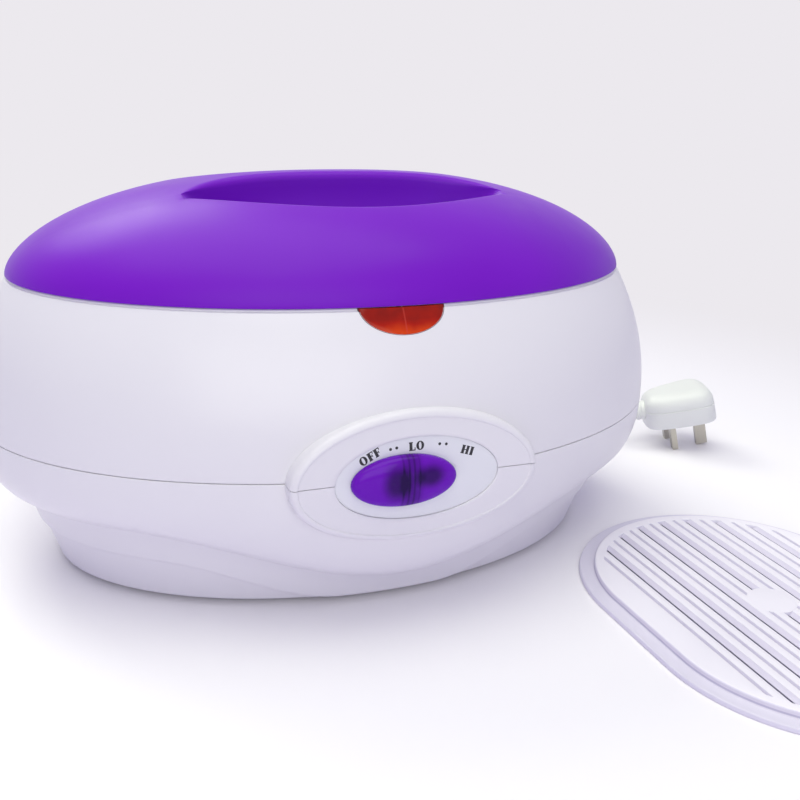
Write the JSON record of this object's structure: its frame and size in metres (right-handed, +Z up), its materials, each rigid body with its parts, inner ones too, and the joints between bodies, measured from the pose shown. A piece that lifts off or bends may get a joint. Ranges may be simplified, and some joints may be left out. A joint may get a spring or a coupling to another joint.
{
  "type": "paraffin wax warmer",
  "caption": "Oval tabletop wax bath with a domed lift-off lid, slide temperature knob, heated tank, slotted hand grille and mains lead.",
  "frame": {"origin": "on the table under the middle of the oval base", "axes": "+Z up, the control panel faces -Y, +X runs to the viewer's right along the long side"},
  "size_m": [0.5013, 0.4902, 0.2048],
  "materials": {
    "purple_lid": "translucent satin moulded plastic",
    "white_shell": "satin moulded ABS",
    "white_plate": "fine matt moulded plastic",
    "purple_knob": "polished translucent plastic",
    "dark_plastic": "moulded nylon",
    "zinc_steel": "zinc plated",
    "brass": "drawn",
    "steatite": "unglazed ceramic",
    "red_lens": "clear red moulded lens",
    "lamp_glass": "clear",
    "tank_aluminium": "deep drawn, satin",
    "silicone": "moulded",
    "mineral_felt": "felted",
    "sheath_steel": "heat tinted",
    "wire_brown": "PVC",
    "wire_blue": "PVC",
    "wire_white": "glass braid",
    "wire_red": "silicone",
    "foot_rubber": "moulded",
    "white_cord": "PVC",
    "plug_plastic": "moulded PVC",
    "grille_plastic": "moulded polypropylene"
  },
  "bodies": {
    "base": {"upper_housing": "white_shell", "lower_housing": "white_shell", "control_plate": "white_plate", "thermostat_body": "steatite", "thermostat_bracket": "zinc_steel", "bracket_screws": "zinc_steel", "indicator_lens": "red_lens", "indicator_lamps": "lamp_glass", "lamp_holder": "white_plate", "wax_tank": "tank_aluminium", "tank_gasket": "silicone", "insulation_band": "mineral_felt", "heating_element": "sheath_steel", "heater_plate": "tank_aluminium", "tank_nuts": "zinc_steel", "thermal_fuse": "steatite", "fuse_clip": "zinc_steel", "terminal_block": "white_plate", "wire_live": "wire_brown", "wire_neutral": "wire_blue", "wire_element": "wire_white", "wire_thermostat": "wire_red", "wire_lamps": "wire_white", "cord_clamp": "dark_plastic", "clamp_screws": "zinc_steel", "housing_screws": "zinc_steel", "rubber_feet": "foot_rubber", "strain_relief": "white_cord", "power_cord": "white_cord", "cord_coil": "white_cord", "plug_body": "plug_plastic", "plug_pins": "brass"},
    "lid": {"lid": "purple_lid"},
    "knob": {"slide_knob": "purple_knob", "knob_carriage": "dark_plastic"},
    "lever": {"thermostat_lever": "zinc_steel", "thermostat_spindle": "brass"},
    "grille": {"grille": "grille_plastic"}
  },
  "joints": [
    {"name": "knob_slide", "type": "slide", "parent": "base", "child": "knob", "axis": [1, 0, 0], "range_m": [0, 0.015]},
    {"name": "lever_swing", "type": "hinge", "parent": "base", "child": "lever", "pos_m": [0, -0.126, 0.058], "axis": [0, 1, 0], "range_deg": [0, 37.7]},
    {"name": "lid_lift", "type": "slide", "parent": "base", "child": "lid", "axis": [0, 0, 1], "range_m": [0, 0.09]},
    {"name": "grille_lift", "type": "slide", "parent": "base", "child": "grille", "axis": [0, 0, 1], "range_m": [0, 0.03]}
  ],
  "couplings": [
    {"joint": "lever_swing", "follows": "knob_slide", "rad_per_m": 43.8}
  ]
}
